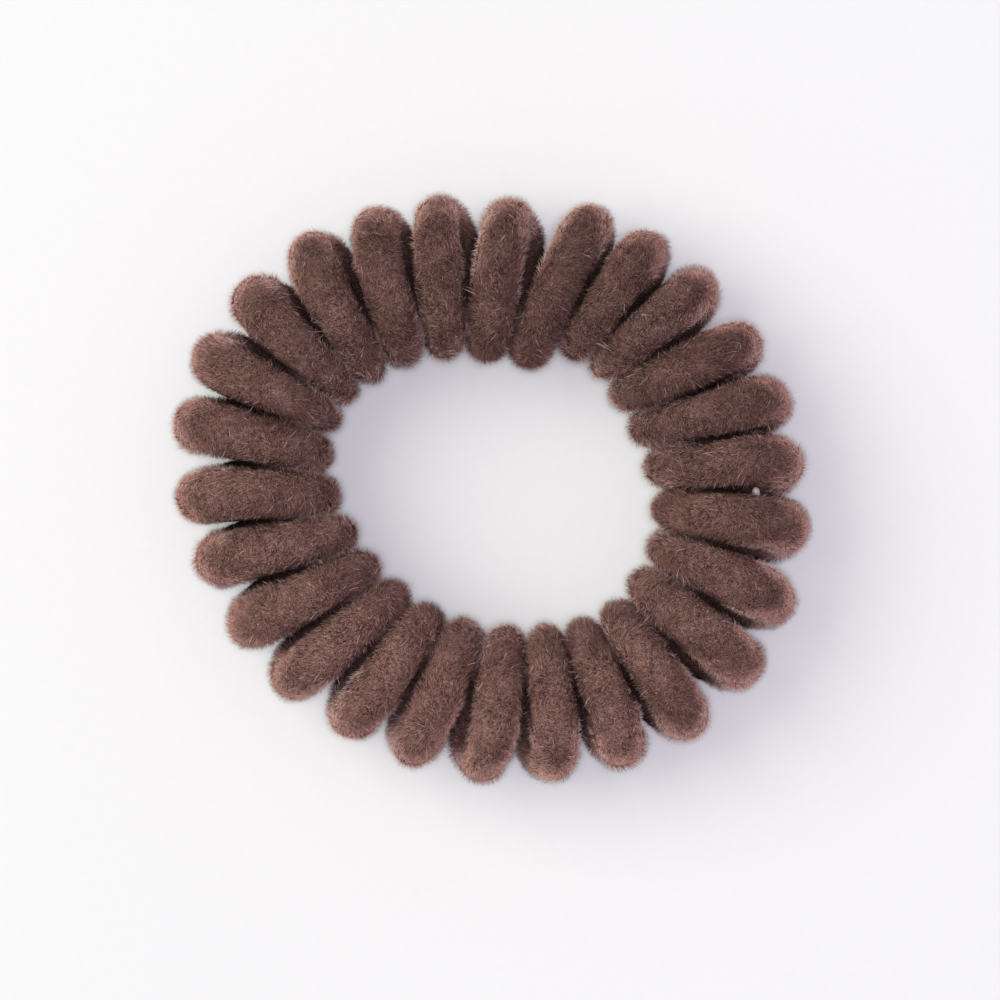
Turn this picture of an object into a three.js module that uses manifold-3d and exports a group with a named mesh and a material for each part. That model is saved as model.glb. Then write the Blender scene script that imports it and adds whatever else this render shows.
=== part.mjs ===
// Spiral hair tie: one flocked elastic cord wound into a coil, its two ends bonded to close the coil
// into a slightly oval ring. Millimetres, +Z up. The ring lies on z = 0, centred over the origin.
import * as THREE from "three";
import { ParametricGeometry } from "three/addons/geometries/ParametricGeometry.js";
import { mergeVertices } from "three/addons/utils/BufferGeometryUtils.js";
import Module from "manifold-3d";

// Driving sizes of the ring
const ring_length = 52.7; // outer oval, along its long axis
const ring_width = 47.3; // outer oval, across its long axis
const ring_heading_deg = -22; // direction of the long axis, from +X
const hole_length = 27.4; // the hole that the hair goes through, along the long axis
const hole_width = 20.6;
const coil_height = 13.0; // from the floor to the highest crown

// Driving sizes of the cord
const cord_diameter = 4.6; // over its flock
const turn_gap = 0.3; // left between two turns that press on each other
const rest_flat_depth = 0.15; // how far the underside gives where a turn rests

// Driving sizes of the bead of bond that the joint squeezed out
const bead_length = 0.62; // along the cord
const bead_width = 0.66; // from the coil's inside out
const bead_reach = 0.95; // towards the neighbouring turn
const bead_stand = 0.42; // how far its middle stands out of the flock
const bead_clearance = 0.3; // between the bead and the flock that parts round it
const bead_turn = 19; // the row of turns below that carries the joint
const bead_phase_deg = 54; // how far over the top of that turn the joint lies
const bead_section_deg = 94; // how far round the cord it lies, from the outward side to the side

// How finely the faces follow the form
const steps_per_turn = 16;
const cord_sides = 12;
const bead_sides = 10;

// One row for each turn, in order round the ring. A turn starts at its outer end, climbs over the
// top to its inner end and runs back underneath to the next row's outer end. The degrees say where
// the two ends lie round the ring, anticlockwise from +X. A reach is a share of the outer oval's, or
// the hole's, own reach in that direction. The leans say how far the cord leans round the ring as it
// climbs to its outer end from under the ring, and as it leaves that end over the top, 1 being an
// even helix. A crown is a share of the coil's height, and a girth is the share of its width that
// the cord keeps where its neighbours crowd it.
const columns = ["out_deg", "out_reach", "under", "over", "in_deg", "in_reach", "crown", "girth"];
const turns = [
  [100.5, 1.005, 1.5, 0.9, 107, 0.975, 0.99, 0.88],
  [113.5, 1.01, 1.2, 1.0, 121.5, 0.975, 0.97, 0.9],
  [127, 1.02, 0.9, 0.9, 134.5, 0.98, 1.0, 0.94],
  [141, 1.02, 0.6, 0.6, 145.5, 0.985, 0.97, 1.0],
  [154.5, 1.02, 0.4, 0.6, 156, 0.975, 0.98, 1.0],
  [167.5, 1.01, -0.4, 0.1, 168, 0.96, 1.0, 1.0],
  [181.3, 0.995, -0.4, 0.1, 182.5, 0.94, 0.98, 1.0],
  [194.5, 0.985, -0.1, 0.2, 196.5, 0.935, 0.99, 1.0],
  [209, 0.99, 0.4, 0.4, 212, 0.955, 1.0, 1.0],
  [223.5, 1.0, 0.5, 0.5, 227.5, 0.985, 0.97, 0.97],
  [238.5, 0.995, 0.7, 0.7, 243.5, 1.005, 0.99, 0.93],
  [253, 0.995, 0.9, 0.9, 259.5, 1.01, 0.98, 0.9],
  [268, 1.0, 1.3, 1.3, 275.5, 1.01, 1.0, 0.88],
  [282.5, 1.0, 1.1, 1.1, 290, 1.015, 0.98, 0.92],
  [297, 1.01, 0.6, 0.6, 302.5, 1.03, 0.99, 0.94],
  [310.5, 1.025, 0.5, 0.5, 314.5, 1.02, 0.97, 0.97],
  [325, 1.025, 0.5, 0.5, 328.5, 0.985, 1.0, 1.0],
  [338.5, 1.01, 0.6, 0.6, 341.5, 0.98, 0.98, 1.0],
  [352.5, 1.005, 0.8, 0.9, 353.5, 0.975, 0.99, 1.0],
  [365, 1.0, 0.6, 1.2, 368, 0.995, 1.0, 0.97],
  [377.5, 1.02, 0.3, 0.7, 381.5, 1.03, 0.98, 0.98],
  [390, 1.035, 0.4, 0.5, 395, 1.09, 0.99, 0.97],
  [404, 1.05, 0.4, 0.4, 407.5, 1.18, 0.97, 0.94],
  [417, 1.055, 0.5, 0.5, 419.5, 1.185, 1.0, 0.92],
  [429.5, 1.05, 0.7, 0.7, 434.5, 0.985, 0.98, 0.92],
  [446, 1.005, 1.4, 0.5, 451.5, 0.965, 0.99, 0.88],
].map((row) => Object.fromEntries(columns.map((name, index) => [name, row[index]])));

const cord_radius = cord_diameter / 2;
const turn_count = turns.length;
const floor_run_height = cord_radius - rest_flat_depth;
const mid_height = coil_height / 2;
const small_step = 1e-5; // of the whole path, for its direction

// An oval's reach from its centre in one direction.
function oval_reach(length, width, direction_deg) {
  const angle = THREE.MathUtils.degToRad(direction_deg - ring_heading_deg);
  return 1 / Math.hypot(Math.cos(angle) / (length / 2), Math.sin(angle) / (width / 2));
}

// The point at a given reach from the ring's centre, half way up the coil.
function around(direction_deg, reach) {
  const angle = THREE.MathUtils.degToRad(direction_deg);
  return new THREE.Vector3(reach * Math.cos(angle), reach * Math.sin(angle), mid_height);
}

// Where a turn's centreline bends round at its outer end, and at its inner end.
function outer_end(turn) {
  const reach = turn.out_reach * oval_reach(ring_length, ring_width, turn.out_deg);
  return around(turn.out_deg, reach - cord_radius);
}
function inner_end(turn) {
  const reach = turn.in_reach * oval_reach(hole_length, hole_width, turn.in_deg);
  return around(turn.in_deg, reach + cord_radius);
}

// A column of the table, read evenly between its rows at any place along the coil, in turns.
function column(name, place) {
  const row = Math.floor(place) % turn_count;
  return THREE.MathUtils.lerp(turns[row][name], turns[(row + 1) % turn_count][name], place % 1);
}

// The cord's centreline, a helix bent into a ring: it swings between a smooth loop through the
// outer ends and one through the inner ends, while it rises and falls once a turn.
class CoilPath extends THREE.Curve {
  constructor() {
    super();
    this.outer_loop = new THREE.CatmullRomCurve3(turns.map(outer_end), true, "catmullrom");
    this.inner_loop = new THREE.CatmullRomCurve3(turns.map(inner_end), true, "catmullrom");
  }

  getPoint(t, target = new THREE.Vector3()) {
    const place = (t * turn_count + turn_count) % turn_count;
    const phase = 2 * Math.PI * place;
    const rise = Math.sin(phase);
    const lean = THREE.MathUtils.lerp(column("under", place), column("over", place), (1 + rise) / 2);
    const held = ((1 - lean) * rise) / (2 * Math.PI);
    const outer = this.outer_loop.getPoint((place - held) / turn_count);
    const inner = this.inner_loop.getPoint((place - 0.5) / turn_count);
    target.lerpVectors(inner, outer, (1 + Math.cos(phase)) / 2);
    const crown_run_height = column("crown", place) * coil_height - cord_radius;
    target.z += rise * (rise > 0 ? crown_run_height - mid_height : mid_height - floor_run_height);
    return target;
  }
}

const path = new CoilPath();

// The cord's own directions at one place: along it, across it towards the next turn, and out from
// the middle of the coil.
function cord_frame(t) {
  const point = path.getPoint(t);
  const along = path.getPoint(t + small_step).sub(path.getPoint(t - small_step)).normalize();
  const across = new THREE.Vector3(-point.y, point.x, 0);
  across.addScaledVector(along, -across.dot(along)).normalize();
  return { point, along, across, out: new THREE.Vector3().crossVectors(across, along) };
}

// Half the cord's width on one side: its own, or less where the neighbouring turn presses.
function half_width(frame, t, side) {
  const neighbour = path.getPoint(t + side / turn_count).sub(frame.point);
  const own = column("girth", (t * turn_count) % turn_count) * cord_radius;
  return Math.min(own, (Math.abs(neighbour.dot(frame.across)) - turn_gap) / 2);
}

// The flocked surface: t runs once round the ring, and v round the cord from its outward side.
function cord_surface(t, v, target) {
  const frame = cord_frame(t);
  const angle = -2 * Math.PI * v;
  const side = Math.sign(Math.sin(angle)) || 1;
  target.copy(frame.point);
  target.addScaledVector(frame.out, cord_radius * Math.cos(angle));
  target.addScaledVector(frame.across, half_width(frame, t, side) * Math.sin(angle));
}

// A closed three.js geometry as a solid, and a solid as a three.js geometry again.
const wasm = await Module();
wasm.setup();
function solid_of(geometry) {
  const bare = geometry.clone().deleteAttribute("normal").deleteAttribute("uv");
  const merged = mergeVertices(bare, 1e-4);
  const vertProperties = merged.attributes.position.array;
  const triVerts = new Uint32Array(merged.index.array);
  return new wasm.Manifold(new wasm.Mesh({ numProp: 3, vertProperties, triVerts }));
}
function geometry_of(solid) {
  const mesh = solid.getMesh();
  const geometry = new THREE.BufferGeometry();
  geometry.setAttribute("position", new THREE.BufferAttribute(mesh.vertProperties, 3));
  geometry.setIndex(new THREE.BufferAttribute(mesh.triVerts, 1));
  geometry.computeVertexNormals();
  return geometry;
}

// The bead sits on the cord's side at the joint, its long way along the cord. Grown by a clearance,
// the same form is the hollow that the flock leaves round it.
function bead_form(clearance) {
  const t = (bead_turn + bead_phase_deg / 360) / turn_count;
  const frame = cord_frame(t);
  const seat = new THREE.Vector3();
  cord_surface(t, bead_section_deg / 360, seat);
  seat.addScaledVector(seat.clone().sub(frame.point).normalize(), bead_stand);
  const geometry = new THREE.SphereGeometry(1, bead_sides, bead_sides / 2);
  geometry.scale(bead_width / 2 + clearance, bead_reach / 2 + clearance, bead_length / 2 + clearance);
  const axes = new THREE.Matrix4().makeBasis(frame.out, frame.across, frame.along);
  return geometry.applyMatrix4(axes.setPosition(seat));
}

// The whole coil, with its underside levelled where each turn rests on the floor.
function make_coil() {
  const surface = new ParametricGeometry(cord_surface, steps_per_turn * turn_count, cord_sides);
  const floor = new THREE.BoxGeometry(2 * ring_length, 2 * ring_length, coil_height);
  floor.translate(0, 0, -coil_height / 2);
  return solid_of(surface).subtract(solid_of(floor)).subtract(solid_of(bead_form(bead_clearance)));
}

const flocked_brown = new THREE.MeshStandardMaterial({ color: 0x5c3f3a, roughness: 0.95, metalness: 0 });
const pale_bond = new THREE.MeshStandardMaterial({ color: 0xa8989b, roughness: 0.45, metalness: 0 });

const coil = new THREE.Mesh(geometry_of(make_coil()), flocked_brown);
coil.name = "spiral_coil";
const bead = new THREE.Mesh(geometry_of(solid_of(bead_form(0))), pale_bond);
bead.name = "joint_bead";

// The ring's box is centred over the origin.
const hair_tie = new THREE.Group();
hair_tie.add(coil, bead);
const middle = new THREE.Box3().setFromObject(coil).getCenter(new THREE.Vector3());
hair_tie.position.set(-middle.x, -middle.y, 0);

export default hair_tie;
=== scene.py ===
"""Spiral hair tie: the flocked coil, its pile of short fibres and the bead of bond at its joint.

One flocked elastic cord is wound into a coil, and its two ends are bonded to close the coil into a
slightly oval ring. The ring lies flat on a pale floor and is seen from straight above. Every piece
is in metres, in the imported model's own frame.
"""

import logging
import math
from dataclasses import dataclass, field, fields
from enum import Enum
from typing import ClassVar

import bpy
import numpy as np
from mathutils import Matrix, Vector


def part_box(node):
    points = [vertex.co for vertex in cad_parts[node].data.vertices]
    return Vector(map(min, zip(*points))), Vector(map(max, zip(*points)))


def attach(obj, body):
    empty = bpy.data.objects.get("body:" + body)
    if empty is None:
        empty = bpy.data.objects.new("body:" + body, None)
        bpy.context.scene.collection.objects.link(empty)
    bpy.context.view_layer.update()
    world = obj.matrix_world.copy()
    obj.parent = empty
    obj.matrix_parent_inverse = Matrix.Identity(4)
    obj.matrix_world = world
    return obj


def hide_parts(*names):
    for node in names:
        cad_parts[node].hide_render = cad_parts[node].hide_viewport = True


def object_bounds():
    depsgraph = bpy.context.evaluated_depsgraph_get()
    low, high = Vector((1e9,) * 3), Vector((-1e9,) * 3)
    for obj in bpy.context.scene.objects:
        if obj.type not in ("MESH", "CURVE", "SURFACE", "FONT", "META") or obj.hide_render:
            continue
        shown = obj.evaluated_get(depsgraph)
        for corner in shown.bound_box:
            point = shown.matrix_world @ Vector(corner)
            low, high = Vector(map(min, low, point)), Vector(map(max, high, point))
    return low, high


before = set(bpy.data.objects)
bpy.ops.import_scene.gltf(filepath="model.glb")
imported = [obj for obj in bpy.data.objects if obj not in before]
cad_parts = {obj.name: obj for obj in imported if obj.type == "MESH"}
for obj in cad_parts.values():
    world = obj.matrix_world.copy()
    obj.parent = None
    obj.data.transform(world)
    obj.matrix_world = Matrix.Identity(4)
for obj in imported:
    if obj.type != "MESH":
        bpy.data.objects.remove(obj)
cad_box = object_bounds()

log = logging.getLogger("hair_tie")

MM = 0.001
FULL_TURN = 2 * math.pi
COIL_NODE = "spiral_coil"
BEAD_NODE = "joint_bead"
BODY = "root"
BAKE_MAP = "OFBake"  # the name of the map that the skin and fibres carry
PALEST = 5.0  # the most that a fibre's tone may be, as a multiple of its own colour

Colour = tuple[float, float, float]
Range = tuple[float, float]
Socket = bpy.types.NodeSocket


@dataclass(frozen=True)
class Turn:
    """One turn of the coil, as shares of the ring's sizes.

    It starts at its outer end, climbs over the top to its inner end and runs back underneath to the
    next turn's outer end.

    Attributes:
        out_deg: Where its outer end lies round the ring, anticlockwise from +X.
        out_reach: Share of the outer oval's own reach in that direction.
        under: How far the cord leans round the ring as it climbs to that end, 1 being an even helix.
        over: How far it leans as it leaves that end over the top.
        in_deg: Where its inner end lies round the ring.
        in_reach: Share of the hole's own reach in that direction.
        crown: Share of the coil's height.
        girth: Share of its width that the cord keeps where its neighbours crowd it.
    """

    out_deg: float
    out_reach: float
    under: float
    over: float
    in_deg: float
    in_reach: float
    crown: float
    girth: float


TURNS = (
    # out_deg, out_reach, under, over, in_deg, in_reach, crown, girth
    Turn(100.5, 1.005, 1.5, 0.9, 107, 0.975, 0.99, 0.88),
    Turn(113.5, 1.01, 1.2, 1.0, 121.5, 0.975, 0.97, 0.9),
    Turn(127, 1.02, 0.9, 0.9, 134.5, 0.98, 1.0, 0.94),
    Turn(141, 1.02, 0.6, 0.6, 145.5, 0.985, 0.97, 1.0),
    Turn(154.5, 1.02, 0.4, 0.6, 156, 0.975, 0.98, 1.0),
    Turn(167.5, 1.01, -0.4, 0.1, 168, 0.96, 1.0, 1.0),
    Turn(181.3, 0.995, -0.4, 0.1, 182.5, 0.94, 0.98, 1.0),
    Turn(194.5, 0.985, -0.1, 0.2, 196.5, 0.935, 0.99, 1.0),
    Turn(209, 0.99, 0.4, 0.4, 212, 0.955, 1.0, 1.0),
    Turn(223.5, 1.0, 0.5, 0.5, 227.5, 0.985, 0.97, 0.97),
    Turn(238.5, 0.995, 0.7, 0.7, 243.5, 1.005, 0.99, 0.93),
    Turn(253, 0.995, 0.9, 0.9, 259.5, 1.01, 0.98, 0.9),
    Turn(268, 1.0, 1.3, 1.3, 275.5, 1.01, 1.0, 0.88),
    Turn(282.5, 1.0, 1.1, 1.1, 290, 1.015, 0.98, 0.92),
    Turn(297, 1.01, 0.6, 0.6, 302.5, 1.03, 0.99, 0.94),
    Turn(310.5, 1.025, 0.5, 0.5, 314.5, 1.02, 0.97, 0.97),
    Turn(325, 1.025, 0.5, 0.5, 328.5, 0.985, 1.0, 1.0),
    Turn(338.5, 1.01, 0.6, 0.6, 341.5, 0.98, 0.98, 1.0),
    Turn(352.5, 1.005, 0.8, 0.9, 353.5, 0.975, 0.99, 1.0),
    Turn(365, 1.0, 0.6, 1.2, 368, 0.995, 1.0, 0.97),
    Turn(377.5, 1.02, 0.3, 0.7, 381.5, 1.03, 0.98, 0.98),
    Turn(390, 1.035, 0.4, 0.5, 395, 1.09, 0.99, 0.97),
    Turn(404, 1.05, 0.4, 0.4, 407.5, 1.18, 0.97, 0.94),
    Turn(417, 1.055, 0.5, 0.5, 419.5, 1.185, 1.0, 0.92),
    Turn(429.5, 1.05, 0.7, 0.7, 434.5, 0.985, 0.98, 0.92),
    Turn(446, 1.005, 1.4, 0.5, 451.5, 0.965, 0.99, 0.88),
)


def unit(vectors: np.ndarray) -> np.ndarray:
    """Each vector at length 1."""
    return vectors / np.linalg.norm(vectors, axis=-1, keepdims=True)


def dot(a: np.ndarray, b: np.ndarray) -> np.ndarray:
    """The dot product of each pair of vectors, kept as a column."""
    return np.sum(a * b, axis=-1, keepdims=True)


def ramp(values: np.ndarray, low: float, high: float) -> np.ndarray:
    """0 below low, 1 above high, and a smooth S between them."""
    share = np.clip((values - low) / (high - low), 0, 1)
    return share * share * (3 - 2 * share)


def crossed(a: np.ndarray, b: np.ndarray) -> tuple[np.ndarray, np.ndarray]:
    """Each value of a with each of b, as two flat arrays that run through b first."""
    over_a, over_b = np.meshgrid(a, b, indexing="ij")
    return over_a.ravel(), over_b.ravel()


def closed_loop(points: np.ndarray, place: np.ndarray) -> np.ndarray:
    """A smooth loop through points, read at any place round it.

    Between the points b and c it is a cubic that runs at b along the line from a to c, and at c along
    the line from b to d: half of 2b + (c - a)w + (2a - 5b + 4c - d)w^2 + (3b - a - 3c + d)w^3.

    Args:
        points: The loop's points in order, one to a row.
        place: Where to read it, in points from the first one.

    Returns:
        A point for each place.
    """
    row = np.floor(place).astype(int)
    w = (place - row)[..., None]
    a, b, c, d = (points[(row + step) % len(points)] for step in (-1, 0, 1, 2))
    slope, bend, twist = c - a, 2 * a - 5 * b + 4 * c - d, 3 * b - a - 3 * c + d
    return (2 * b + slope * w + bend * w**2 + twist * w**3) / 2


class SlowWaves:
    """A smooth random field through space: a sum of sine waves of about one length."""

    length_spread: ClassVar[Range] = (0.7, 1.4)  # of the waves, as shares of their mean length

    def __init__(self, rng: np.random.Generator, wave_length: float, waves: int = 12) -> None:
        """Draws the waves.

        Args:
            rng: The source of the random numbers.
            wave_length: Their mean length, in metres.
            waves: How many are added up.
        """
        lengths = wave_length * rng.uniform(*self.length_spread, (1, waves))
        self.turns = FULL_TURN * unit(rng.normal(size=(waves, 3))).T / lengths
        self.starts = rng.uniform(0, FULL_TURN, waves)
        self.height = math.sqrt(2 / waves)

    def __call__(self, points: np.ndarray) -> np.ndarray:
        """The field at each point, of mean 0 and deviation 1."""
        return self.height * np.sin(points @ self.turns + self.starts).sum(axis=-1)


@dataclass
class CordFrame:
    """Places on the centreline, with the cord's own directions there.

    Attributes:
        centre: The place on the centreline.
        along: The way that the cord runs.
        across: Sideways, towards the next turn.
        out: Away from the middle of the coil.
    """

    centre: np.ndarray
    along: np.ndarray
    across: np.ndarray
    out: np.ndarray


@dataclass
class Patch:
    """Points on the cord's flocked surface, or at a depth under it.

    Attributes:
        point: Each point.
        normal: The outward normal there.
        cord: The cord's directions there.
        pressed: From 0 to 1 where a neighbouring turn presses on the cord.
    """

    point: np.ndarray
    normal: np.ndarray
    cord: CordFrame
    pressed: np.ndarray


@dataclass
class CoilPath:
    """The cord's centreline, a helix bent into a ring, and the flocked surface round it.

    The centreline swings between a smooth loop through the turns' outer ends and one through their
    inner ends, while it rises and falls once a turn. A place on it is counted in turns.
    """

    ring_length: float = 52.7 * MM
    ring_width: float = 47.3 * MM
    ring_heading_deg: float = -22
    hole_length: float = 27.4 * MM
    hole_width: float = 20.6 * MM
    coil_height: float = 13.0 * MM
    cord_diameter: float = 4.6 * MM
    turn_gap: float = 0.10 * MM  # between the tips of two turns' piles that press on each other
    rest_flat_depth: float = 0.15 * MM
    turns: tuple[Turn, ...] = TURNS
    small_step: float = 2e-4  # of a turn, for the centreline's direction
    deepest_share: float = 0.5  # of a crowded cord's half width that a depth may take
    pressed_share: float = 0.4  # of its depth that the pile keeps where a neighbour presses
    free_room: float = 0.35 * MM  # beyond the cord's own width, where no neighbour presses any more
    crevice: Range = (0.82, 0.98)  # sideways facing from a crevice's edge to its full painted shade
    inner_press: float = 0.4  # of that painted shade, left at the inner ends, where piles interlock
    inner_stretch: Range = (0.05, 0.45)  # of the way out from the inner ends, where it grows to full
    painted_crevice_shade: float = 0.97  # painted shade: the share of the pile's paleness taken away in a crevice
    painted_under_shade: float = 0.92  # painted shade: the same under the ring
    under_shade_span: Range = (0.6 * MM, 3.4 * MM)  # below the coil's middle, where the painted shade begins and is full
    outer_rim_light: float = 4.0  # painted rim light: paleness added where the pile at an outer end is seen from the side
    inner_rim_light: float = 0.8  # painted rim light: the same at an inner end
    seen_sidelong: Range = (0.3, 1.0)  # how far sideways the pile faces, from no painted rim light to all of it
    facing_out: Range = (-0.2, 0.5)  # how far out of the ring it faces, from the inner painted rim light to the outer
    paler_side: Range = (-0.14, -0.52)  # towards the side where the pile is paler, as long as what is added across the ring
    rim_light_side: Range = (0.8, 0.45)  # the same for the ends' painted rim light
    packed_steps: int = 16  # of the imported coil, in a turn
    packed_sides: int = 12  # of its cord

    def __post_init__(self) -> None:
        """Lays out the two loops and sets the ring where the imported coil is."""
        self.radius = self.cord_diameter / 2
        self.count = len(self.turns)
        names = [column.name for column in fields(Turn)]
        self.columns = {name: np.array([getattr(turn, name) for turn in self.turns]) for name in names}
        self.outer_ends = self.ends("out", self.ring_length, self.ring_width, -self.radius)
        self.inner_ends = self.ends("in", self.hole_length, self.hole_width, self.radius)
        self.shift = np.zeros(3)
        steps = np.arange(0, self.count, 1 / self.packed_steps)
        sides = np.arange(self.packed_sides) * FULL_TURN / self.packed_sides
        points = self.surface(*crossed(steps, sides)).point
        low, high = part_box(COIL_NODE)
        middle = (points.min(axis=0) + points.max(axis=0)) / 2
        self.shift[:2] = (np.array(low + high) / 2 - middle)[:2]

    def ends(self, side: str, length: float, width: float, inset: float) -> np.ndarray:
        """Where the centreline bends round at each turn's outer or inner end.

        Args:
            side: "out" or "in", the columns to read.
            length: The oval's length.
            width: The oval's width.
            inset: How far outside the oval the centreline runs.

        Returns:
            One point for each turn, at height 0.
        """
        angle = np.radians(self.columns[side + "_deg"])
        turned = angle - math.radians(self.ring_heading_deg)
        oval = 1 / np.hypot(np.cos(turned) / (length / 2), np.sin(turned) / (width / 2))
        reach = self.columns[side + "_reach"] * oval + inset
        return np.stack([reach * np.cos(angle), reach * np.sin(angle), np.zeros(self.count)], axis=-1)

    def column(self, name: str, place: np.ndarray) -> np.ndarray:
        """A column of the turns, read evenly between them.

        Args:
            name: The column.
            place: Along the cord, in turns.

        Returns:
            A value for each place.
        """
        row = np.floor(place).astype(int)
        values = self.columns[name]
        share = place - row
        return values[row % self.count] * (1 - share) + values[(row + 1) % self.count] * share

    def centre(self, place: np.ndarray) -> np.ndarray:
        """The centreline: it swings out and in as a cosine and up and down as a sine of the place.

        The outer loop is read behind the place by 1 - lean times that sine over a full turn, so that
        at its outer end the cord runs round the ring at the lean's share of an even helix's pace.

        Args:
            place: Along the cord, in turns.

        Returns:
            A point for each place.
        """
        phase = FULL_TURN * place
        rise = np.sin(phase)
        over, under = self.column("over", place), self.column("under", place)
        lean = under + (over - under) * (1 + rise) / 2
        held = (1 - lean) * rise / FULL_TURN
        outer = closed_loop(self.outer_ends, place - held)
        inner = closed_loop(self.inner_ends, place - 0.5)
        point = inner + (outer - inner) * ((1 + np.cos(phase)) / 2)[..., None]
        middle = self.coil_height / 2
        above = self.column("crown", place) * self.coil_height - self.radius - middle
        below = middle - (self.radius - self.rest_flat_depth)
        point[..., 2] = middle + rise * np.where(rise > 0, above, below)
        return point + self.shift

    def frame(self, place: np.ndarray) -> CordFrame:
        """The cord's own directions at each place.

        Along is the centreline's own direction. Across is the direction round the ring, less its
        part along the cord. Out stands upright on both.

        Args:
            place: Along the cord, in turns.

        Returns:
            The directions, with the centreline's points.
        """
        centre = self.centre(place)
        along = unit(self.centre(place + self.small_step) - self.centre(place - self.small_step))
        round_ring = (centre - self.shift)[..., [1, 0, 2]] * (-1, 1, 0)
        across = unit(round_ring - along * dot(round_ring, along))
        return CordFrame(centre, along, across, np.cross(across, along))

    def half_width(
        self, place: np.ndarray, cord: CordFrame, side: np.ndarray
    ) -> tuple[np.ndarray, np.ndarray]:
        """Half the cord's width on one side: its own, or less where the neighbouring turn presses.

        Args:
            place: Along the cord, in turns.
            cord: The cord's directions there.
            side: 1 towards the next turn, -1 towards the one before.

        Returns:
            The half width, and how free the side is, from 0 where a neighbour presses to 1.
        """
        neighbour = self.centre(place + side) - cord.centre
        room = (np.abs(dot(neighbour, cord.across))[..., 0] - self.turn_gap) / 2
        own = self.column("girth", place) * self.radius
        return np.minimum(own, room), ramp(room - own, 0, self.free_room)

    def surface(self, place: np.ndarray, angle: np.ndarray, depth: float = 0.0) -> Patch:
        """The flocked surface, or one at a depth under it, as a function of two parameters.

        It is the centreline plus out times the radius times the cosine of the angle, plus across
        times the half width times its sine. The normal is that ellipse's. The pile is pressed where
        it faces a neighbour that takes the cord's room, and less so at the inner ends.

        Args:
            place: Along the cord, in turns.
            angle: Round the cord, from its outward side towards the next turn.
            depth: How far under the flock the surface lies.

        Returns:
            A point of the surface for each pair of parameters, with what is known of it.
        """
        cord = self.frame(place)
        side = np.where(np.sin(angle) >= 0, 1, -1)
        whole, free = self.half_width(place, cord, side)
        kept = self.pressed_share + (1 - self.pressed_share) * free
        half = np.maximum(whole - depth * kept, whole * self.deepest_share)[..., None]
        radius = self.radius - depth
        cosine, sine = np.cos(angle)[..., None], np.sin(angle)[..., None]
        point = cord.centre + cord.out * radius * cosine + cord.across * half * sine
        normal = unit(cord.out * cosine * half + cord.across * sine * radius)
        outerness = (1 + np.cos(FULL_TURN * place)) / 2
        crowded = self.inner_press + (1 - self.inner_press) * ramp(outerness, *self.inner_stretch)
        pressed = (1 - free) * crowded * ramp(np.abs(np.sin(angle)), *self.crevice)
        return Patch(point, normal, cord, pressed)

    def paleness(self, patch: Patch) -> np.ndarray:
        """How pale the pile looks at each point, as a multiple of its own colour.

        It holds painted shade and painted light: painted shade in the crevices where turns press
        and under the ring, and painted rim light where a turn ends and the pile is seen from the
        side, as light would come through it there, most of all towards one side of the ring. It is
        also paler towards another side. So the multiple is that side's share, times 1 plus the rim
        light, times what each painted shade leaves.

        Args:
            patch: The points.

        Returns:
            The multiple at each point.
        """
        below = ramp(self.coil_height / 2 - patch.point[..., 2], *self.under_shade_span)
        sidelong = ramp(1 - np.abs(patch.normal[..., 2]), *self.seen_sidelong) * (1 - patch.pressed)
        outward = ramp(dot(patch.normal, unit(patch.point * (1, 1, 0)))[..., 0], *self.facing_out)
        # painted rim light where a turn ends, stronger towards one side of the ring
        rim_light = sidelong * (self.inner_rim_light + (self.outer_rim_light - self.inner_rim_light) * outward)
        # paler towards one side of the ring
        side_paleness = 1 + patch.point[..., :2] @ np.array(self.paler_side) / self.ring_length
        rim_light = rim_light * (1 + patch.point[..., :2] @ np.array(self.rim_light_side) / self.ring_length)
        # painted shade in the crevices and under the ring
        left = (1 - self.painted_crevice_shade * patch.pressed) * (1 - self.painted_under_shade * below)
        return side_paleness * (1 + rim_light) * left


@dataclass(frozen=True)
class Joint:
    """Where the cord's two ends are bonded.

    Attributes:
        place: Along the cord, in turns.
        stretch: How far along the cord from it, in turns, its own traces may reach.
        parting: How far from it the pile is pushed aside.
        bare: How far from it no fibre stands.
        groove: How deep the skin dips there.
        groove_width: How far from it that dip reaches.
    """

    place: float = 19 + 54 / 360  # 54 degrees on from the outer end of turn 19, counted from 0
    stretch: float = 0.1
    parting: float = 0.3 * MM
    bare: float = 0.05 * MM
    groove: float = 0.12 * MM
    groove_width: float = 0.12 * MM

    def is_near(self, place: np.ndarray) -> np.ndarray:
        """Whether each place is on the joint's own stretch, and not on a turn that lies beside it."""
        return np.abs(place - self.place) < self.stretch


def put_mesh(name: str, points: np.ndarray, faces: np.ndarray) -> bpy.types.Object:
    """Makes a smooth-shaded object from arrays.

    Args:
        name: The piece's name.
        points: One vertex to a row.
        faces: One face to a row, all with as many corners.

    Returns:
        The object, at the origin.
    """
    mesh = bpy.data.meshes.new(name)
    mesh.vertices.add(len(points))
    mesh.vertices.foreach_set("co", points.astype(np.float32).ravel())
    mesh.loops.add(faces.size)
    mesh.loops.foreach_set("vertex_index", faces.astype(np.int32).ravel())
    mesh.polygons.add(len(faces))
    mesh.polygons.foreach_set("loop_start", np.arange(0, faces.size, faces.shape[1], dtype=np.int32))
    mesh.update()
    mesh.shade_smooth()
    piece = bpy.data.objects.new(name, mesh)
    bpy.context.scene.collection.objects.link(piece)
    return piece


def put_attribute(piece: bpy.types.Object, name: str, values: np.ndarray) -> None:
    """Gives each vertex of a piece a number that its finish reads."""
    attribute = piece.data.attributes.new(name, "FLOAT", "POINT")
    attribute.data.foreach_set("value", values.astype(np.float32).ravel())


def put_map(piece: bpy.types.Object, corners: np.ndarray) -> None:
    """Gives a piece its map, from the two numbers of each face corner."""
    layer = piece.data.uv_layers.new(name=BAKE_MAP)
    layer.uv.foreach_set("vector", corners.astype(np.float32).ravel())


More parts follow.
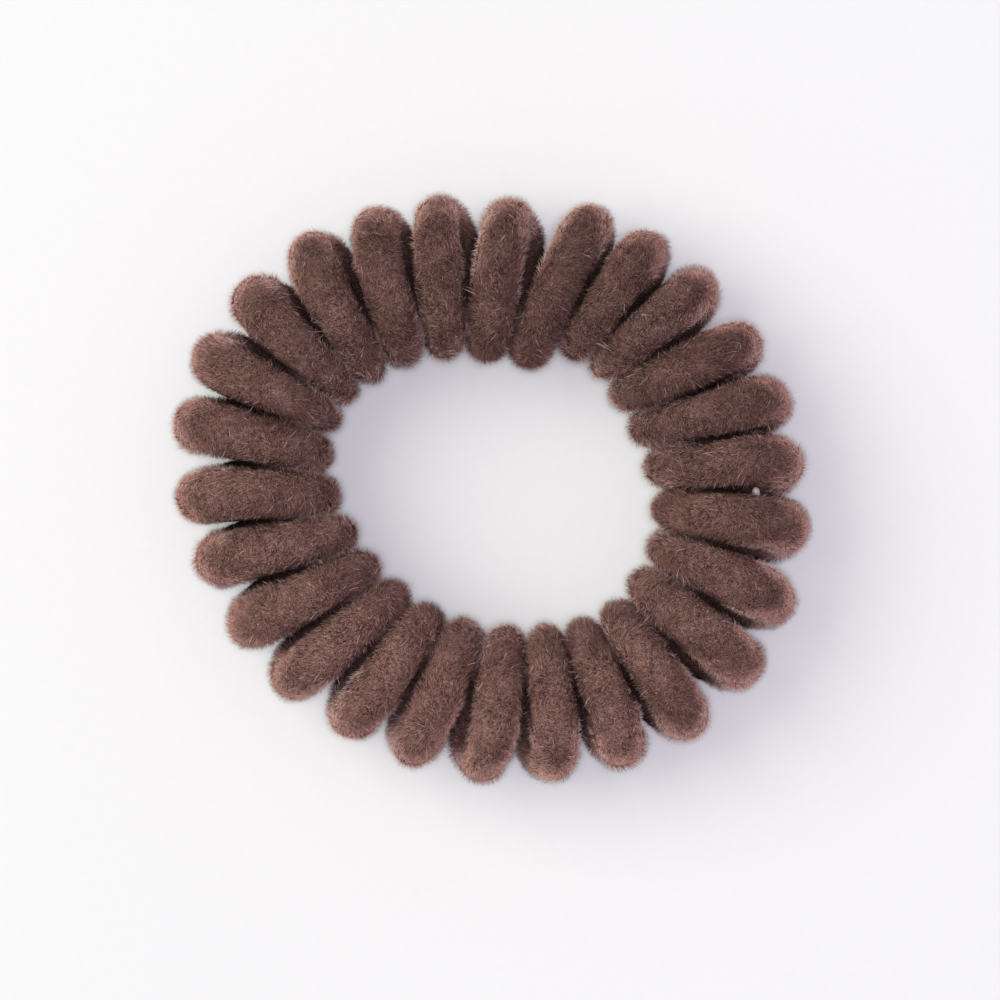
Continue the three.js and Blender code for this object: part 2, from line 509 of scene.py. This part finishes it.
class Shader:
    """A material's nodes round one Principled shader, with short ways to add and join them."""

    def __init__(self, name: str) -> None:
        """Starts the material that goes by this name."""
        self.material = bpy.data.materials.new(name)
        self.material.use_nodes = True
        self.tree = self.material.node_tree
        self.principled = next(n for n in self.tree.nodes if n.type == "BSDF_PRINCIPLED")

    def add(self, kind: str, **inputs: object) -> bpy.types.Node:
        """Adds a node.

        Args:
            kind: The node's type.
            **inputs: A number, colour or socket for each input by name, spaces as underscores.

        Returns:
            The node.
        """
        node = self.tree.nodes.new(kind)
        for name, value in inputs.items():
            self.set(node, name.replace("_", " "), value)
        return node

    def set(self, node: bpy.types.Node, name: str | int, value: object) -> None:
        """Gives a node's input a value.

        Args:
            node: The node.
            name: The input's name or number.
            value: A number, a colour or another node's output.
        """
        if isinstance(value, Socket):
            self.tree.links.new(value, node.inputs[name])
        else:
            node.inputs[name].default_value = value

    def surface(self, **values: object) -> None:
        """Sets inputs of the Principled shader by name, spaces as underscores."""
        for name, value in values.items():
            self.set(self.principled, name.replace("_", " "), value)

    def attribute(self, name: str) -> Socket:
        """A vertex number of the piece."""
        node = self.tree.nodes.new("ShaderNodeAttribute")
        node.attribute_name = name
        return node.outputs["Fac"]

    def place(self) -> Socket:
        """Where the surface is, in the piece's own coordinates."""
        return self.tree.nodes.new("ShaderNodeTexCoord").outputs["Object"]

    def noise(self, grain: float, detail: float = 2.0) -> Socket:
        """Noise whose grains are about this many metres long."""
        node = self.add("ShaderNodeTexNoise", Vector=self.place(), Scale=1 / grain, Detail=detail)
        return node.outputs["Fac"]

    def colours(self, share: Socket, *stops: tuple[float, Colour]) -> Socket:
        """A colour that runs through stops as a share goes from 0 to 1.

        Args:
            share: The share.
            *stops: Where each colour lies, and the colour.

        Returns:
            The colour's output.
        """
        node = self.add("ShaderNodeValToRGB", Fac=share)
        elements = node.color_ramp.elements
        while len(elements) < len(stops):
            elements.new(0.5)
        for element, (position, colour) in zip(elements, stops):
            element.position = position
            element.color = (*colour, 1)
        return node.outputs["Color"]

    def toned(self, colour: Socket, most: Colour) -> Socket:
        """A colour times the piece's own tone.

        Args:
            colour: The colour.
            most: The palest that it may become.

        Returns:
            The toned colour's output.
        """
        product = self.add("ShaderNodeVectorMath", Vector=colour)
        product.operation = "SCALE"
        self.set(product, "Scale", self.attribute("tone"))
        least = self.add("ShaderNodeVectorMath", Vector=product.outputs["Vector"])
        least.operation = "MINIMUM"
        self.set(least, 1, most)
        return least.outputs["Vector"]

    def total(self, *parts: tuple[float, Socket]) -> Socket:
        """The sum of some outputs.

        Args:
            *parts: Each one's weight and the output.

        Returns:
            The sum's output.
        """
        so_far: Socket | float = 0.0
        for weight, output in parts:
            node = self.tree.nodes.new("ShaderNodeMath")
            node.operation = "MULTIPLY_ADD"
            for number, value in enumerate((output, weight, so_far)):
                self.set(node, number, value)
            so_far = node.outputs[0]
        return so_far

    def bump(self, height: Socket, distance: float, strength: float) -> Socket:
        """A normal for relief of this height."""
        node = self.add("ShaderNodeBump", Height=height, Distance=distance, Strength=strength)
        return node.outputs["Normal"]


@dataclass(frozen=True)
class FlockFinish:
    """Dyed flock fibres: brown, with painted shade at the root and painted light at the tip."""

    name: str = "flock_fibres"
    # The dark root is painted shade deep in the pile, the pale tip painted light through it.
    root: Colour = (0.050, 0.021, 0.017)
    body: Colour = (0.265, 0.141, 0.123)
    body_share: float = 0.55  # of the way up the fibre, where it has the body's colour
    tip: Colour = (0.560, 0.415, 0.385)
    palest: Colour = (0.82, 0.70, 0.68)
    sheen_tint: Colour = (1.0, 0.72, 0.68)

    def make(self) -> bpy.types.Material:
        """Makes the material, which reads each fibre's tone and how far along it the surface is."""
        shader = Shader(self.name)
        stops = (0.0, self.root), (self.body_share, self.body), (1.0, self.tip)
        along = shader.colours(shader.attribute("along"), *stops)
        shader.surface(
            # the tone holds painted shade and painted rim light
            Base_Color=shader.toned(along, self.palest),
            Roughness=0.7,
            Sheen_Weight=0.03,
            Sheen_Roughness=0.5,
            Sheen_Tint=(*self.sheen_tint, 1),
            Specular_IOR_Level=0.02,
        )
        return shader.material


@dataclass(frozen=True)
class BedFinish:
    """The bed of the pile: flock too fine and crowded to tell apart, mottled by how it lies."""

    name: str = "flock_bed"
    shade: Colour = (0.048, 0.021, 0.017)
    brown: Colour = (0.138, 0.069, 0.057)
    light: Colour = (0.285, 0.170, 0.145)
    stops: tuple[float, float, float] = (0.38, 0.50, 0.62)  # of the tone, where these three lie
    grain: float = 0.10 * MM
    tuft: float = 0.42 * MM
    patch: float = 3.0 * MM
    shares: tuple[float, float, float] = (0.62, 0.22, 0.16)  # of grain, tufts and patches in the tone
    palest: Colour = (0.70, 0.53, 0.50)
    sheen_tint: Colour = (1.0, 0.66, 0.60)

    def make(self) -> bpy.types.Material:
        """Makes the material: grain, tufts and slow patches add up to one tone. The grain stands up."""
        shader = Shader(self.name)
        grain = shader.noise(self.grain, detail=3.0)
        layers = grain, shader.noise(self.tuft), shader.noise(self.patch)
        tone = shader.total(*zip(self.shares, layers))
        mottled = shader.colours(tone, *zip(self.stops, (self.shade, self.brown, self.light)))
        shader.surface(
            # the tone holds painted shade and painted rim light
            Base_Color=shader.toned(mottled, self.palest),
            Normal=shader.bump(grain, distance=0.06 * MM, strength=0.9),
            Roughness=0.95,
            Sheen_Weight=0.03,
            Sheen_Roughness=0.45,
            Sheen_Tint=(*self.sheen_tint, 1),
            Specular_IOR_Level=0.02,
        )
        return shader.material


@dataclass(frozen=True)
class BondFinish:
    """The squeezed-out bond: milky, a little glossy, with flock dust on it."""

    name: str = "milky_bond"
    clear: Colour = (0.74, 0.62, 0.65)
    dusty: Colour = (0.40, 0.28, 0.27)
    dust_grain: float = 0.16 * MM

    def make(self) -> bpy.types.Material:
        """Makes the material, whose dust lies in small specks."""
        shader = Shader(self.name)
        dust = shader.noise(self.dust_grain, detail=4.0)
        shader.surface(
            Base_Color=shader.colours(dust, (0.42, self.clear), (0.66, self.dusty)),
            Normal=shader.bump(dust, distance=0.03 * MM, strength=0.5),
            Roughness=0.32,
            Subsurface_Weight=0.2,
            Subsurface_Scale=0.3 * MM,
        )
        return shader.material


@dataclass(frozen=True)
class FloorFinish:
    """The plain pale floor."""

    name: str = "pale_floor"
    colour: Colour = (0.85, 0.85, 0.85)
    paler_by: float = 0.01  # where its tooth stands up
    grain: float = 0.6 * MM

    def make(self) -> bpy.types.Material:
        """Makes the material, matt with a trace of tooth."""
        shader = Shader(self.name)
        paler = tuple(part + self.paler_by for part in self.colour)
        tooth = shader.colours(shader.noise(self.grain), (0.3, self.colour), (0.7, paler))
        shader.surface(Base_Color=tooth, Roughness=0.85, Specular_IOR_Level=0.2)
        return shader.material


@dataclass
class CordSkin:
    """The cord's skin, which carries the pile: the flocked surface less the pile's depth."""

    path: CoilPath
    joint: Joint
    bead_middle: np.ndarray
    rng: np.random.Generator
    depth: float = 0.26 * MM  # under the flocked surface
    steps: int = 1200
    joint_steps: int = 30  # of all the steps, crowded at the joint
    joint_span: float = 0.03  # of a turn, that the joint's own steps cover
    sides: int = 22
    strips: int = 8  # the lengths of cord that its map lays side by side
    lump_height: float = 0.035 * MM
    lump_size: float = 1.6 * MM
    dent: float = 0.75 * MM  # how deep the skin gives way under the bead
    dent_reach: float = 0.8 * MM  # how far from the bead's middle it does

    def build(self) -> bpy.types.Object:
        """Builds the skin as a grid that closes both round the ring and round the cord.

        The surface's point is moved along its normal by slow waves, and inward by a bell-shaped
        groove at the joint and a bell-shaped dent round the bead.

        Returns:
            The piece, dressed.
        """
        even_steps = self.steps - self.joint_steps
        even = np.arange(even_steps) * self.path.count / even_steps
        close = self.joint.place + np.linspace(-self.joint_span, self.joint_span, self.joint_steps)
        places = np.sort(np.concatenate([even, close]))
        angles = np.arange(self.sides) * FULL_TURN / self.sides
        place, angle = crossed(places, angles)
        patch = self.path.surface(place, angle, self.depth)
        points = patch.point
        lumps = self.lump_height * SlowWaves(self.rng, self.lump_size)(points)
        at_joint = self.path.frame(np.array([self.joint.place]))
        apart = dot(points - at_joint.centre, at_joint.along)[..., 0]
        groove = self.joint.groove * np.exp(-((apart / self.joint.groove_width) ** 2))
        from_bead = np.linalg.norm(points - self.bead_middle, axis=-1)
        dent = self.dent * np.exp(-((from_bead / self.dent_reach) ** 2))
        points = points + patch.normal * (lumps - groove * self.joint.is_near(place) - dent)[..., None]
        piece = put_mesh("cord_skin", points, self.faces())
        # its tone: painted shade in crevices and under the ring, painted rim light at the ends
        put_attribute(piece, "tone", self.path.paleness(patch))
        put_map(piece, self.map_corners())
        piece.data.materials.append(BedFinish().make())
        return piece

    def faces(self) -> np.ndarray:
        """The grid's quads, facing outward.

        Returns:
            The four vertices of each.
        """
        step, side = crossed(np.arange(self.steps), np.arange(self.sides))
        on, over = (step + 1) % self.steps, (side + 1) % self.sides
        corners = (step, side), (step, over), (on, over), (on, side)
        return np.stack([a * self.sides + b for a, b in corners], axis=-1)

    def map_corners(self) -> np.ndarray:
        """The map: the cord cut into equal lengths that lie side by side, each unrolled flat.

        Returns:
            The map's two numbers for each corner of each quad.
        """
        step, side = crossed(np.arange(self.steps), np.arange(self.sides))
        run = self.steps // self.strips
        start, strip = step % run, step // run
        corners = (start, side), (start, side + 1), (start + 1, side + 1), (start + 1, side)
        pairs = [(a / run, (strip + b / self.sides) / self.strips) for a, b in corners]
        return np.stack([np.stack(pair, axis=-1) for pair in pairs], axis=1)


@dataclass(frozen=True)
class Habit:
    """How a kind of fibre grows.

    Attributes:
        rings: How many rings of vertices it has below its tip.
        length: How long it is.
        width: Its width at the root.
        lean_deg: How far it leans off the upright.
        curl: How far its tip is carried off its first direction, as a share of its length.
        paler: What is added to its tone.
    """

    rings: int
    length: float
    width: float
    lean_deg: float
    curl: float
    paler: float


class FibreKind(Enum):
    """The kinds of fibre: the pile itself, and loose ones that lie curled on it."""

    PILE = Habit(rings=1, length=0.70 * MM, width=0.044 * MM, lean_deg=54, curl=0.0, paler=0.0)
    STRAY = Habit(rings=3, length=0.95 * MM, width=0.050 * MM, lean_deg=64, curl=0.45, paler=1.7)


@dataclass
class Fibres:
    """A bed of tapered fibres as arrays, one to a row.

    Attributes:
        root: Where each stands.
        way: The direction in which it leaves its root.
        bend: How far its tip is carried off that direction.
        length: Its length.
        width: Its width at the root.
        tone: How pale it is, as a multiple of its own colour, painted shade and light included.
    """

    root: np.ndarray
    way: np.ndarray
    bend: np.ndarray
    length: np.ndarray
    width: np.ndarray
    tone: np.ndarray

    map_width: ClassVar[float] = 0.0015  # a fibre's half width on its map
    map_room: ClassVar[float] = 0.02  # left at the map's edges

    def build(self, name: str, rings: int, spin: np.ndarray, floor: float) -> bpy.types.Object:
        """Builds every fibre as a closed spike of three sides.

        At the share s of its length a fibre's middle is root + way times length times s + bend times
        s squared, and its three sides lie round that, at half the width times the square root of
        1 - s.

        Args:
            name: The piece's name.
            rings: How many rings each fibre has below its tip.
            spin: Each fibre's turn about itself.
            floor: The height under which no vertex lies.

        Returns:
            The piece, with its tone, its share along each fibre and its map.
        """
        shares = np.arange(rings) / rings
        off_axis = self.way[:, [1, 2, 0]] + (0.0, 0.0, 0.01)  # never the fibre's own direction
        side_a = unit(np.cross(self.way, off_axis))
        side_b = np.cross(self.way, side_a)
        turn = spin[:, None] + np.arange(3) * FULL_TURN / 3
        offset = np.cos(turn)[..., None] * side_a[:, None] + np.sin(turn)[..., None] * side_b[:, None]
        reach = (self.width / 2)[:, None] * np.sqrt(1 - shares)
        ring_points = self.middle(shares)[:, :, None] + offset[:, None] * reach[..., None, None]
        ring_points = ring_points.reshape(len(self.root), -1, 3)
        points = np.concatenate([ring_points, self.middle(np.ones(1))], axis=1)
        points[..., 2] = np.maximum(points[..., 2], floor)
        piece = put_mesh(name, points.reshape(-1, 3), self.faces(rings))
        along = np.append(np.repeat(shares, 3), 1.0)
        put_attribute(piece, "along", np.tile(along, len(self.root)))
        put_attribute(piece, "tone", np.repeat(self.tone, len(along)))
        self.lay_map(piece, along)
        return piece

    def middle(self, shares: np.ndarray) -> np.ndarray:
        """Each fibre's middle line at these shares of its length."""
        straight = self.way[:, None] * self.length[:, None, None] * shares[:, None]
        return self.root[:, None] + straight + self.bend[:, None] * shares[:, None] ** 2

    def faces(self, rings: int) -> np.ndarray:
        """The triangles of every fibre: a cap at the root, two to a ring's side, three at the tip.

        Args:
            rings: How many rings each fibre has below its tip.

        Returns:
            The three vertices of each triangle.
        """
        side = np.arange(3)
        after = (side + 1) % 3
        one = [np.array([[0, 2, 1]])]
        for ring in range(rings - 1):
            low, high = 3 * ring, 3 * ring + 3
            one.append(np.stack([low + side, low + after, high + after], axis=-1))
            one.append(np.stack([low + side, high + after, high + side], axis=-1))
        last = 3 * (rings - 1)
        one.append(np.stack([last + side, last + after, np.full(3, 3 * rings)], axis=-1))
        shape = np.concatenate(one)
        starts = np.arange(len(self.root)) * (3 * rings + 1)
        return (starts[:, None, None] + shape).reshape(-1, 3)

    def lay_map(self, piece: bpy.types.Object, along: np.ndarray) -> None:
        """Lays each fibre upright on the map, at the place across it that its tone gives.

        Args:
            piece: The fibres' piece.
            along: How far along its fibre each vertex of one fibre is.
        """
        corner = np.append(np.tile(np.arange(3), (len(along) - 1) // 3), 1)
        across = self.tone[:, None] / PALEST + (corner - 1) * self.map_width
        upward = np.broadcast_to(along + (corner == 1) * self.map_width, across.shape)
        at = self.map_room + (1 - 2 * self.map_room) * np.stack([across, upward], axis=-1).reshape(-1, 2)
        corners = np.empty(len(piece.data.loops), dtype=np.int32)
        piece.data.loops.foreach_get("vertex_index", corners)
        put_map(piece, at[corners])


@dataclass
class FlockPile:
    """The pile: short fibres that stand on the skin and lean in brushed patches."""

    path: CoilPath
    joint: Joint
    skin_depth: float
    bead_middle: np.ndarray
    rng: np.random.Generator
    pieces: int = 5
    fibres_in_piece: int = 44000
    strays: int = 3200
    tries_for_each: float = 2.6  # random places drawn for each fibre that stands
    inside_share: float = 0.08  # of the fibres that still stand towards the coil's inside
    inside: Range = (-0.85, 0.2)  # the cosine of the angle round the cord, from there to full
    thinner_under: float = 0.45  # share of the fibres that is missing underneath
    underneath: Range = (0.2, 0.9)  # how far down the surface faces, from full to there
    bead_room: float = 1.05 * MM  # round the bead's middle, where no fibre stands
    brush_size: float = 8.0 * MM
    tuft_size: float = 1.3 * MM
    clump_size: float = 0.45 * MM
    clump_waves: int = 24
    tuft_pull: float = 0.3  # on a fibre's direction, against the brush's own 1
    wander: float = 0.35  # the same for chance
    jitter: float = 0.20  # chance on the direction once it leans
    lean_swing_deg: float = 13
    parting_pull: float = 1.2  # of the joint, along the cord
    base_tone: float = 0.7  # of a fibre before its patch, its clump and chance add to it
    patch_tone: float = 0.16  # the deviation that patches add
    clump_tone: float = 0.28  # the same for clumps
    chance_tone: Range = (1.2, 0.35)  # the form and scale of the gamma draw that each fibre adds
    darkest: float = 0.05  # tone that a fibre may have
    length_spread: float = 0.12  # the deviation, as a share
    pressed_loss: float = 0.7  # of a fibre's length where a neighbour presses
    width_spread: Range = (0.75, 1.25)  # the least and the most, as shares
    material: bpy.types.Material = field(init=False)

    def __post_init__(self) -> None:
        """Draws the patches that the pile is brushed into."""
        self.brush = [SlowWaves(self.rng, self.brush_size) for _ in range(3)]
        self.tufts = [SlowWaves(self.rng, self.tuft_size) for _ in range(3)]
        self.patches = SlowWaves(self.rng, self.tuft_size * 2)
        self.clumps = SlowWaves(self.rng, self.clump_size, self.clump_waves)
        self.seam = self.path.frame(np.array([self.joint.place]))
        self.material = FlockFinish().make()

    def thickness(self, angle: np.ndarray, normal: np.ndarray) -> np.ndarray:
        """How thickly fibres stand: thin towards the coil's inside and underneath.

        Args:
            angle: Round the cord, from its outward side.
            normal: The surface's normal there.

        Returns:
            The share of the fibres that stand, from 0 to 1.
        """
        facing = self.inside_share + (1 - self.inside_share) * ramp(np.cos(angle), *self.inside)
        return facing * (1 - self.thinner_under * ramp(-normal[:, 2], *self.underneath))

    def stand(self, low: float, high: float, count: int) -> tuple[np.ndarray, np.ndarray]:
        """Draws where fibres stand, by thickness.

        Args:
            low: The first place along the cord.
            high: The last one.
            count: How many fibres.

        Returns:
            Their places along the cord and their angles round it.
        """
        tries = int(count * self.tries_for_each)
        place = self.rng.uniform(low, high, tries)
        angle = self.rng.uniform(-math.pi, math.pi, tries)
        patch = self.path.surface(place, angle, self.skin_depth)
        stands = self.rng.uniform(size=tries) < self.thickness(angle, patch.normal)
        stands &= np.linalg.norm(patch.point - self.bead_middle, axis=-1) > self.bead_room
        apart = np.abs(dot(patch.point - self.seam.centre, self.seam.along)[:, 0])
        stands &= (apart > self.joint.bare) | ~self.joint.is_near(place)
        kept = np.flatnonzero(stands)[:count]
        return place[kept], angle[kept]

    def ways(self, place: np.ndarray, patch: Patch, habit: Habit) -> np.ndarray:
        """Draws the direction in which each fibre leaves its root.

        It is the surface's normal times the cosine of the fibre's lean, plus the brushed direction
        times the lean's sine, plus a small random vector, and near the joint plus the cord's own
        direction away from it.

        Args:
            place: Where the fibres stand along the cord.
            patch: Their roots on the skin.
            habit: How they grow.

        Returns:
            A direction for each fibre.
        """
        root, normal = patch.point, patch.normal
        brushed = np.stack([wave(root) for wave in self.brush], axis=-1)
        tufted = np.stack([wave(root) for wave in self.tufts], axis=-1)
        way = brushed + self.tuft_pull * tufted + self.wander * self.rng.normal(size=root.shape)
        way = unit(way - normal * dot(way, normal))
        lean = np.radians(habit.lean_deg + self.lean_swing_deg * self.patches(root))[:, None]
        way = normal * np.cos(lean) + way * np.sin(lean)
        way = way + self.jitter * self.rng.normal(size=root.shape)
        apart = dot(root - self.seam.centre, self.seam.along)
        parted = np.exp(-((apart / self.joint.parting) ** 2)) * self.joint.is_near(place)[:, None]
        return unit(way + patch.cord.along * np.sign(apart) * parted * self.parting_pull)

    def tones(self, patch: Patch, habit: Habit) -> np.ndarray:
        """Draws each fibre's tone.

        It is the sum of what all fibres share, what the fibre's patch and clump add and what chance
        adds, times how pale the pile is at its place, with its painted shade and painted rim light.

        Args:
            patch: The fibres' roots on the skin.
            habit: How they grow.

        Returns:
            A tone for each fibre.
        """
        root = patch.point
        tone = self.base_tone + habit.paler + self.patch_tone * self.patches(root)
        tone = tone + self.clump_tone * self.clumps(root)
        tone = (tone + self.rng.gamma(*self.chance_tone, len(root))) * self.path.paleness(patch)
        return np.clip(tone, self.darkest, PALEST)

    def draw(self, low: float, high: float, count: int, habit: Habit) -> Fibres:
        """Draws fibres for a stretch of the cord.

        Args:
            low: The first place along the cord.
            high: The last one.
            count: How many fibres.
            habit: How they grow.

        Returns:
            The fibres.
        """
        place, angle = self.stand(low, high, count)
        patch = self.path.surface(place, angle, self.skin_depth)
        way = self.ways(place, patch, habit)
        tone = self.tones(patch, habit)
        length = habit.length * self.rng.normal(1, self.length_spread, len(place))
        length = length * (1 - self.pressed_loss * patch.pressed)
        bend = unit(self.rng.normal(size=way.shape)) * (habit.curl * length)[:, None]
        width = habit.width * self.rng.uniform(*self.width_spread, len(place))
        return Fibres(patch.point - patch.normal * habit.width, way, bend, length, width, tone)

    def build(self) -> list[bpy.types.Object]:
        """Builds the pile in arcs of the ring, and the longer strays over it.

        Returns:
            The pieces, dressed.
        """
        made = []
        marks = np.linspace(0, self.path.count, self.pieces + 1)
        for number, (low, high) in enumerate(zip(marks, marks[1:]), start=1):
            name = f"flock_pile_{number}"
            made.append(self.grow(name, low, high, self.fibres_in_piece, FibreKind.PILE))
        made.append(self.grow("stray_fibres", 0, self.path.count, self.strays, FibreKind.STRAY))
        return made

    def grow(self, name: str, low: float, high: float, count: int, kind: FibreKind) -> bpy.types.Object:
        """Builds the fibres of one stretch of the cord.

        Args:
            name: The piece's name.
            low: The first place along the cord.
            high: The last one.
            count: How many fibres.
            kind: Their kind.

        Returns:
            The piece, dressed.
        """
        fibres = self.draw(low, high, count, kind.value)
        spin = self.rng.uniform(0, FULL_TURN, len(fibres.root))
        piece = fibres.build(name, kind.value.rings, spin, cad_box[0][2])
        piece.data.materials.append(self.material)
        return piece


@dataclass
class JointBead:
    """The drop of bond that the joint squeezed out."""

    path: CoilPath
    joint: Joint
    rng: np.random.Generator
    length: float = 0.62 * MM  # along the cord
    width: float = 0.66 * MM  # from the coil's inside out
    reach: float = 0.95 * MM  # towards the neighbouring turn
    rows: int = 24
    columns: int = 40
    unevenness: float = 0.05
    lump_size: float = 0.5 * MM

    def middle(self) -> np.ndarray:
        """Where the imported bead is."""
        low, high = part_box(BEAD_NODE)
        return np.array(low + high) / 2

    def build(self) -> bpy.types.Object:
        """Builds the drop as a lumpy ellipsoid.

        At the polar angle p and the angle q round it, the drop's point is the middle plus its half
        sizes times (sin p cos q, sin p sin q, cos p) along out, across and along, times 1 plus slow
        waves.

        Returns:
            The piece, dressed.
        """
        cord = self.path.frame(np.array([self.joint.place]))
        polar = np.linspace(0, math.pi, self.rows + 1)[1:-1]
        round_it = np.arange(self.columns) * FULL_TURN / self.columns
        p, q = crossed(polar, round_it)
        ball = np.stack([np.sin(p) * np.cos(q), np.sin(p) * np.sin(q), np.cos(p)], axis=-1)
        ball = np.concatenate([ball, [[0, 0, 1], [0, 0, -1]]])
        axes = np.stack([cord.out[0], cord.across[0], cord.along[0]])
        half = np.array([self.width, self.reach, self.length]) / 2
        points = self.middle() + (ball * half) @ axes
        lumps = 1 + self.unevenness * SlowWaves(self.rng, self.lump_size)(points)
        points = self.middle() + (points - self.middle()) * lumps[:, None]
        piece = put_mesh("bond_bead", points, self.faces())
        piece.data.materials.append(BondFinish().make())
        return piece

    def faces(self) -> np.ndarray:
        """The drop's triangles: two to each cell of the grid, and a fan at each pole.

        Returns:
            The three vertices of each.
        """
        rings = self.rows - 1
        row, column = crossed(np.arange(rings - 1), np.arange(self.columns))
        after = (column + 1) % self.columns
        a, b = row * self.columns + column, row * self.columns + after
        c, d = a + self.columns, b + self.columns
        first = np.arange(self.columns)
        following = (first + 1) % self.columns
        last_ring = (rings - 1) * self.columns
        top = np.full(self.columns, rings * self.columns)
        fans = (top, first, following), (last_ring + following, last_ring + first, top + 1)
        return np.concatenate([np.stack(corners, axis=-1) for corners in ((a, c, d), (a, d, b), *fans)])


@dataclass(frozen=True)
class SoftLight:
    """A round soft light that faces the ring.

    Attributes:
        name: What it is called.
        place: Where it hangs.
        size: How wide it is.
        power: In watts.
        colour: Its colour.
    """

    name: str
    place: tuple[float, float, float]
    size: float
    power: float
    colour: Colour

    def hang(self) -> None:
        """Puts the light into the scene."""
        lamp = bpy.data.lights.new(self.name, "AREA")
        lamp.shape = "DISK"
        lamp.size = self.size
        lamp.energy = self.power
        lamp.color = self.colour
        light = bpy.data.objects.new(self.name, lamp)
        away = Vector(self.place)
        light.matrix_world = Matrix.Translation(away) @ away.to_track_quat("Z", "Y").to_matrix().to_4x4()
        bpy.context.scene.collection.objects.link(light)


@dataclass
class Studio:
    """The floor, the lights and the camera over the ring."""

    floor_size: float = 3.0
    view_width: float = 81.37 * MM  # of the picture, half way up the coil
    view_height: float = 0.6  # of the camera over that
    look_at: tuple[float, float] = (0.69 * MM, -0.90 * MM)
    view_depth: float = 10.0
    sensor: float = 36.0  # of the camera, in millimetres
    room_colour: Colour = (0.965, 0.925, 1.0)
    room_strength: float = 0.345
    overhead: SoftLight = SoftLight(
        "overhead", place=(0.0, 0.0, 1.5), size=0.25, power=11.5, colour=(0.925, 0.885, 1.0)
    )
    side: SoftLight = SoftLight(
        "left_side", place=(-0.65, 0.23, 0.78), size=0.9, power=5.6, colour=(0.94, 1.0, 0.80)
    )

    def build(self) -> None:
        """Sets up the whole studio."""
        self.lay_floor()
        self.light_room()
        self.overhead.hang()
        self.side.hang()
        self.set_camera()
        bpy.context.scene.view_settings.view_transform = "Standard"

    def lay_floor(self) -> None:
        """Lays the floor at height 0, where the ring rests."""
        half = self.floor_size / 2
        square = (-half, -half), (half, -half), (half, half), (-half, half)
        corners = np.array([(*corner, 0.0) for corner in square])
        floor = put_mesh("floor", corners, np.array([[0, 1, 2, 3]]))
        floor.data.materials.append(FloorFinish().make())

    def light_room(self) -> None:
        """Makes the room round it dimly pale."""
        world = bpy.data.worlds.new("pale_room")
        world.use_nodes = True
        background = world.node_tree.nodes["Background"]
        background.inputs["Color"].default_value = (*self.room_colour, 1)
        background.inputs["Strength"].default_value = self.room_strength
        bpy.context.scene.world = world

    def set_camera(self) -> None:
        """Hangs the camera straight over the ring, with +Y at the top of the picture."""
        lens = bpy.data.cameras.new("camera")
        lens.sensor_width = self.sensor
        lens.lens = self.sensor * self.view_height / self.view_width
        lens.clip_end = self.view_depth
        camera = bpy.data.objects.new("camera", lens)
        middle_height = (cad_box[0][2] + cad_box[1][2]) / 2
        camera.location = (*self.look_at, middle_height + self.view_height)
        bpy.context.scene.collection.objects.link(camera)
        bpy.context.scene.camera = camera


@dataclass
class SpiralHairTie:
    """The whole tie: its skin, its pile and the bead at its joint."""

    seed: int = 26
    path: CoilPath = field(default_factory=CoilPath)
    joint: Joint = field(default_factory=Joint)

    def build(self) -> list[bpy.types.Object]:
        """Builds every piece and sets it on the body that carries it.

        Returns:
            The pieces.
        """
        rng = np.random.default_rng(self.seed)
        bead = JointBead(self.path, self.joint, rng)
        skin = CordSkin(self.path, self.joint, bead.middle(), rng)
        pile = FlockPile(self.path, self.joint, skin.depth, bead.middle(), rng)
        cord_pieces = [skin.build(), *pile.build()]
        for piece in cord_pieces:
            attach(piece, BODY)
            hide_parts(COIL_NODE)
        drop = bead.build()
        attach(drop, BODY)
        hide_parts(BEAD_NODE)
        return [*cord_pieces, drop]


def main() -> None:
    """Builds the hair tie and its studio, and reports each piece."""
    logging.basicConfig(level=logging.INFO, format="%(name)s: %(message)s")
    for piece in SpiralHairTie().build():
        triangles = len(piece.data.loops) - 2 * len(piece.data.polygons)
        log.info("%s has %d triangles", piece.name, triangles)
    Studio().build()


if __name__ == "__main__":
    main()
